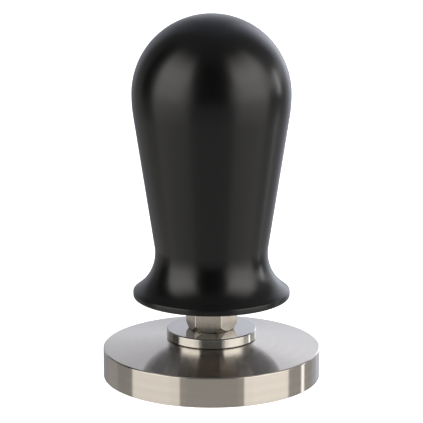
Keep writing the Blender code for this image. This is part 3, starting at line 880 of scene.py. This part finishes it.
def build_pieces():
    """Makes every piece in place of its CAD node, on the body that carries it."""
    base_steel = turned_steel()
    inner_steel = plain_steel("machined_steel", (0.50, 0.49, 0.48), (0.58, 0.57, 0.56), 0.25, 0.40)
    screw_steel = plain_steel("screw_stainless", (0.55, 0.54, 0.53), (0.66, 0.65, 0.64), 0.18, 0.30)
    black_steel = plain_steel("black_oxide", (0.030, 0.030, 0.032), (0.055, 0.055, 0.06), 0.35, 0.50)
    black_acetal = acetal("black_acetal", (0.018, 0.018, 0.018), (0.030, 0.030, 0.030))
    white_acetal = acetal("natural_acetal", (0.70, 0.68, 0.62), (0.78, 0.76, 0.71))
    nitrile = rubber()
    install(tamping_base(), base_steel, "tamping_base", "base")
    install(stem_collar(), polished_steel(), "stem_collar", "base")
    install(hex_stem(), drawn_steel(), "hex_stem", "base")
    install(stop_washer(), inner_steel, "stop_washer", "base")
    install(lock_washer(), inner_steel, "lock_washer", "base")
    install(stop_screw(), black_steel, "stop_screw", "base")
    install(lower_spring_seat(), black_acetal, "lower_spring_seat", "base")
    spring = install(coil_spring(), spring_steel(), "spring", "base")
    install(handle_shell(), satin_black(), "handle_shell", "handle")
    install(bottom_cover(), black_anodised(), "bottom_cover", "handle")
    install(guide_bush(), white_acetal, "hex_guide_bush", "handle")
    for number in (1, 2, 3):
        install(cover_screw(number), screw_steel, f"cover_screw_{number}", "handle")
    bumper = rubber_ring("bumper_o_ring", "bumper_ring", BUMPER_SECTION)
    install(bumper, nitrile, "bumper_ring", "handle")
    seal = rubber_ring("seal_o_ring", "cover_seal", SEAL_SECTION)
    install(seal, nitrile, "cover_seal", "handle")
    install(upper_spring_seat(), inner_steel, "upper_spring_seat", "handle")
    for number in (1, 2):
        install(shim(number), inner_steel, f"calibration_shim_{number}", "handle")
    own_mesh(spring)


# ---------------------------------------------------------------- studio

# The studio as seen from the object, in upright slices. Azimuths are in degrees from the camera, to
# the right, and each slice gives its brightness at a few elevations, from the ground up. Slices of
# one light or one gap share the stops of the table below them and of the room above them.
FULL_TURN = 360.0
SLICE_EDGE = 2.0
WARM = (1.0, 0.96, 0.91)
TABLE = (1.0, 0.97, 0.93)
COOL = (1.0, 1.03, 1.14)
NEUTRAL = (1.0, 1.0, 1.0)
FRONT_LOW = ((-90, 0.20), (-66, 0.30), (-45, 0.56), (-34, 0.50), (-26, 0.41), (-18, 0.36))
FRONT_HIGH = ((48, 0.04), (58, 0.14), (90, 0.20))
RIGHT_BOX_LOW = ((-90, 0.25), (-66, 0.45), (-45, 0.75), (-34, 0.66), (-26, 0.82), (-18, 1.08))
RIGHT_BOX_HIGH = ((42, 2.2), (50, 1.2), (60, 0.20), (90, 0.20))
RIGHT_GAP_LOW = ((-90, 1.00), (-40, 0.85), (-26, 0.62), (-18, 0.36), (-8, 0.25), (-3, 0.22), (3, 0.60))
LEFT_BOX_LOW = ((-90, 0.25), (-66, 0.45), (-45, 0.75), (-34, 0.60), (-26, 0.72))
LEFT_BOX_HIGH = ((42, 2.0), (50, 1.1), (60, 0.20), (90, 0.20))
SLICES = [
    # name, left, right, tint, (elevation, brightness)
    ("front", -26, 27, TABLE, (
        *FRONT_LOW, (-10, 0.28), (-4, 0.10), (4, 0.05), *FRONT_HIGH)),
    ("front_right", 27, 34.5, WARM, (
        *FRONT_LOW, (-10, 0.40), (-3, 0.80), (4, 0.95), (14, 0.85), (24, 0.15), *FRONT_HIGH)),
    ("right_box_start", 34.5, 44, WARM, (
        *RIGHT_BOX_LOW, (-10, 1.25), (-4, 1.45), (3, 2.0), (14, 2.1), (22, 2.9), (32, 3.1),
        *RIGHT_BOX_HIGH)),
    ("right_box", 44, 79, WARM, (
        *RIGHT_BOX_LOW, (-10, 1.38), (-4, 1.8), (3, 2.6), (14, 2.7), (20, 3.1), (32, 3.1),
        *RIGHT_BOX_HIGH)),
    ("right_box_end", 79, 89, WARM, (
        *RIGHT_BOX_LOW, (-10, 1.38), (-4, 1.8), (3, 2.3), (9, 2.3), (14, 2.1), (20, 2.8), (32, 3.0),
        *RIGHT_BOX_HIGH)),
    ("right_lip", 89, 97, TABLE, (
        *RIGHT_GAP_LOW, (6, 1.45), (16, 1.50), (34, 1.30), (44, 0.30), (60, 0.25), (90, 0.20))),
    ("right_gap", 97, 110.7, TABLE, (
        *RIGHT_GAP_LOW, (6, 1.50), (13, 1.50), (18, 0.40), (40, 0.22), (60, 0.25), (90, 0.20))),
    ("strip", 110.7, 116, NEUTRAL, (
        (-90, 1.00), (-40, 0.60), (-24, 0.45), (-21.5, 1.75), (-15.5, 1.75), (-13, 0.25), (-5, 0.30),
        (-2, 5.3), (9, 5.3), (14, 3.8), (18, 0.40), (60, 0.25), (90, 0.20))),
    ("right_side", 116, 134, TABLE, (
        (-90, 1.00), (-40, 0.90), (-26, 0.66), (-18, 0.36), (-8, 0.25), (-3, 0.25), (3, 0.45),
        (6, 1.05), (13, 1.00), (18, 0.30), (40, 0.22), (60, 0.25), (90, 0.20))),
    ("right_edge", 134, 146, COOL, (
        (-90, 1.00), (-34, 0.62), (-18, 0.42), (-5, 0.62), (0, 0.84), (24, 0.95), (38, 0.55),
        (54, 0.35), (90, 0.25))),
    ("back_right", 146, 164, COOL, (
        (-90, 1.00), (-34, 0.70), (-18, 0.55), (-5, 1.20), (0, 1.70), (24, 1.50), (38, 0.85),
        (54, 0.40), (90, 0.25))),
    ("back", 164, 180, COOL, (
        (-90, 1.20), (-34, 0.80), (-10, 0.60), (0, 0.87), (26, 0.87), (34, 0.60), (46, 0.40),
        (90, 0.20))),
    ("back_middle", 180, 188, COOL, (
        (-90, 1.20), (-34, 0.80), (-10, 0.56), (0, 0.72), (14, 0.74), (26, 0.76), (34, 0.52),
        (46, 0.36), (90, 0.20))),
    ("back_left", 188, 217, COOL, (
        (-90, 1.20), (-34, 1.00), (-26, 0.55), (-18, 0.28), (-10, 0.34), (0, 0.51), (24, 0.49),
        (34, 0.36), (90, 0.20))),
    ("left_side", 217, 242, TABLE, (
        (-90, 1.00), (-34, 0.95), (-26, 0.64), (-18, 0.34), (-8, 0.30), (0, 0.26), (16, 0.20),
        (40, 0.14), (60, 0.20), (90, 0.20))),
    ("left_gap", 242, 268, TABLE, (
        (-90, 1.00), (-34, 0.90), (-26, 0.58), (-18, 0.28), (-8, 0.14), (0, 0.02), (40, 0.02),
        (60, 0.20), (90, 0.20))),
    ("left_lip", 268, 272, WARM, (
        *LEFT_BOX_LOW, (-18, 0.93), (-10, 1.20), (-4, 1.3), (3, 1.1), (32, 0.9), (42, 0.7), (50, 0.4),
        (60, 0.20), (90, 0.20))),
    ("left_box", 272, 316, WARM, (
        *LEFT_BOX_LOW, (-18, 0.93), (-10, 1.25), (-4, 1.6), (3, 2.3), (14, 2.4), (22, 2.7), (32, 2.7),
        *LEFT_BOX_HIGH)),
    ("left_box_end", 316, FULL_TURN - 33.5, WARM, (
        *LEFT_BOX_LOW, (-18, 0.91), (-10, 1.10), (-4, 1.25), (3, 1.7), (14, 1.8), (22, 2.5), (32, 2.7),
        *LEFT_BOX_HIGH)),
    ("front_left", FULL_TURN - 33.5, FULL_TURN - 26, WARM, (
        *FRONT_LOW, (-10, 0.38), (-3, 0.60), (4, 0.68), (14, 0.60), (24, 0.15), *FRONT_HIGH)),
]
BRIGHTNESS_SCALE = 8.0
CAMERA_BACKGROUND = (1.0, 1.0, 1.0)


def window(tree, value, low, high, edge=SLICE_EDGE):
    """1 where the value lies between two limits, with soft edges of the given width."""
    rise = add(tree, "ShaderNodeMapRange", {
        "Value": value, "From Min": low - edge / 2, "From Max": low + edge / 2,
    }).outputs[0]
    fall = add(tree, "ShaderNodeMapRange", {
        "Value": value, "From Min": high - edge / 2, "From Max": high + edge / 2,
        "To Min": 1.0, "To Max": 0.0,
    }).outputs[0]
    return maths(tree, "MULTIPLY", rise, fall)


def brightness_ramp(tree, height, stops):
    """Brightness by elevation; the height runs from 0 straight down to 1 straight up."""
    node = add(tree, "ShaderNodeValToRGB", {"Fac": height})
    elements = node.color_ramp.elements
    while len(elements) < len(stops):
        elements.new(0.5)
    for element, (elevation, value) in zip(elements, stops):
        element.position = (elevation + 90.0) / 180.0
        grey = value / BRIGHTNESS_SCALE
        element.color = (grey, grey, grey, 1)
    return maths(tree, "MULTIPLY", node.outputs[0], BRIGHTNESS_SCALE)


def studio_world():
    """Softboxes, table and backdrop round the object; the camera itself sees plain white."""
    world = bpy.data.worlds.new("studio")
    bpy.context.scene.world = world
    world.use_nodes = True
    tree = world.node_tree
    tree.nodes.clear()
    place = add(tree, "ShaderNodeTexCoord").outputs["Generated"]
    turn = add(tree, "ShaderNodeVectorRotate", {
        "Vector": place, "Angle": -CAMERA_AZIMUTH,
    }, rotation_type="Z_AXIS").outputs[0]
    parts = add(tree, "ShaderNodeSeparateXYZ", {"Vector": turn})
    toward = maths(tree, "MULTIPLY", parts.outputs[1], -1.0)
    signed = maths(tree, "DEGREES", maths(tree, "ARCTAN2", parts.outputs[0], toward))
    below = maths(tree, "LESS_THAN", signed, 0.0)
    azimuth = maths(tree, "ADD", signed, maths(tree, "MULTIPLY", below, FULL_TURN))
    elevation = maths(tree, "DEGREES", maths(tree, "ARCSINE", parts.outputs[2]))
    height = add(tree, "ShaderNodeMapRange", {
        "Value": elevation, "From Min": -90.0, "From Max": 90.0,
    }).outputs[0]
    total = None
    for _name, left, right, tint, stops in SLICES:
        # The front slice lies on both sides of zero, so it takes the angle that has a sign.
        across = signed if left < 0 else azimuth
        inside = window(tree, across, left, right)
        level = maths(tree, "MULTIPLY", inside, brightness_ramp(tree, height, stops))
        part = add(tree, "ShaderNodeVectorMath", {0: tint, "Scale": level}, operation="SCALE").outputs[0]
        total = part if total is None else add(
            tree, "ShaderNodeVectorMath", {0: total, 1: part}, operation="ADD").outputs[0]
    studio = add(tree, "ShaderNodeBackground", {"Color": total})
    plain = add(tree, "ShaderNodeBackground", {"Color": (*CAMERA_BACKGROUND, 1)})
    seen = add(tree, "ShaderNodeLightPath").outputs["Is Camera Ray"]
    mix = add(tree, "ShaderNodeMixShader", {0: seen, 1: studio.outputs[0], 2: plain.outputs[0]})
    add(tree, "ShaderNodeOutputWorld", {"Surface": mix.outputs[0]})


def floor():
    """Wide pale floor, bright enough to read as white, that shows a faint shadow at the base."""
    bm = bmesh.new()
    bmesh.ops.create_circle(bm, cap_ends=True, segments=FLOOR_SIDES, radius=FLOOR_RADIUS)
    obj = finished("floor", bm)
    obj.location.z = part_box("tamping_base")[0].z
    material, tree, shader, place = new_material("pale_floor")
    cloud = noise(tree, place, scale=6, detail=3)
    colour = blend(tree, cloud, (0.86, 0.86, 0.86), (0.88, 0.88, 0.88))
    tree.links.new(colour, shader.inputs["Base Color"])
    shader.inputs["Roughness"].default_value = 0.9
    shader.inputs["Specular IOR Level"].default_value = 0.1
    shader.inputs["Emission Color"].default_value = (1, 1, 1, 1)
    shader.inputs["Emission Strength"].default_value = FLOOR_GLOW
    clear = add(tree, "ShaderNodeBsdfTransparent")
    under = add(tree, "ShaderNodeNewGeometry").outputs["Backfacing"]
    mix = add(tree, "ShaderNodeMixShader", {0: under, 1: shader.outputs[0], 2: clear.outputs[0]})
    tree.links.new(mix.outputs[0], tree.nodes["Material Output"].inputs["Surface"])
    obj.data.materials.append(material)
    obj.visible_glossy = False
    obj.visible_diffuse = False
    return obj


def camera():
    """Camera a little to the right of the front, looking slightly down as in the photo."""
    data = bpy.data.cameras.new("camera")
    data.lens = CAMERA_LENS
    data.sensor_width = CAMERA_SENSOR
    data.clip_start = CAMERA_CLIP_START
    obj = bpy.data.objects.new("camera", data)
    bpy.context.scene.collection.objects.link(obj)
    level = math.cos(CAMERA_ELEVATION)
    back = Vector((
        math.sin(CAMERA_AZIMUTH) * level, -math.cos(CAMERA_AZIMUTH) * level, math.sin(CAMERA_ELEVATION),
    ))
    obj.location = CAMERA_TARGET + back * CAMERA_DISTANCE
    obj.rotation_mode = "QUATERNION"
    obj.rotation_quaternion = (-back).to_track_quat("-Z", "Y")
    bpy.context.scene.camera = obj


build_pieces()
studio_world()
floor()
camera()
bpy.context.scene.view_settings.view_transform = "Standard"
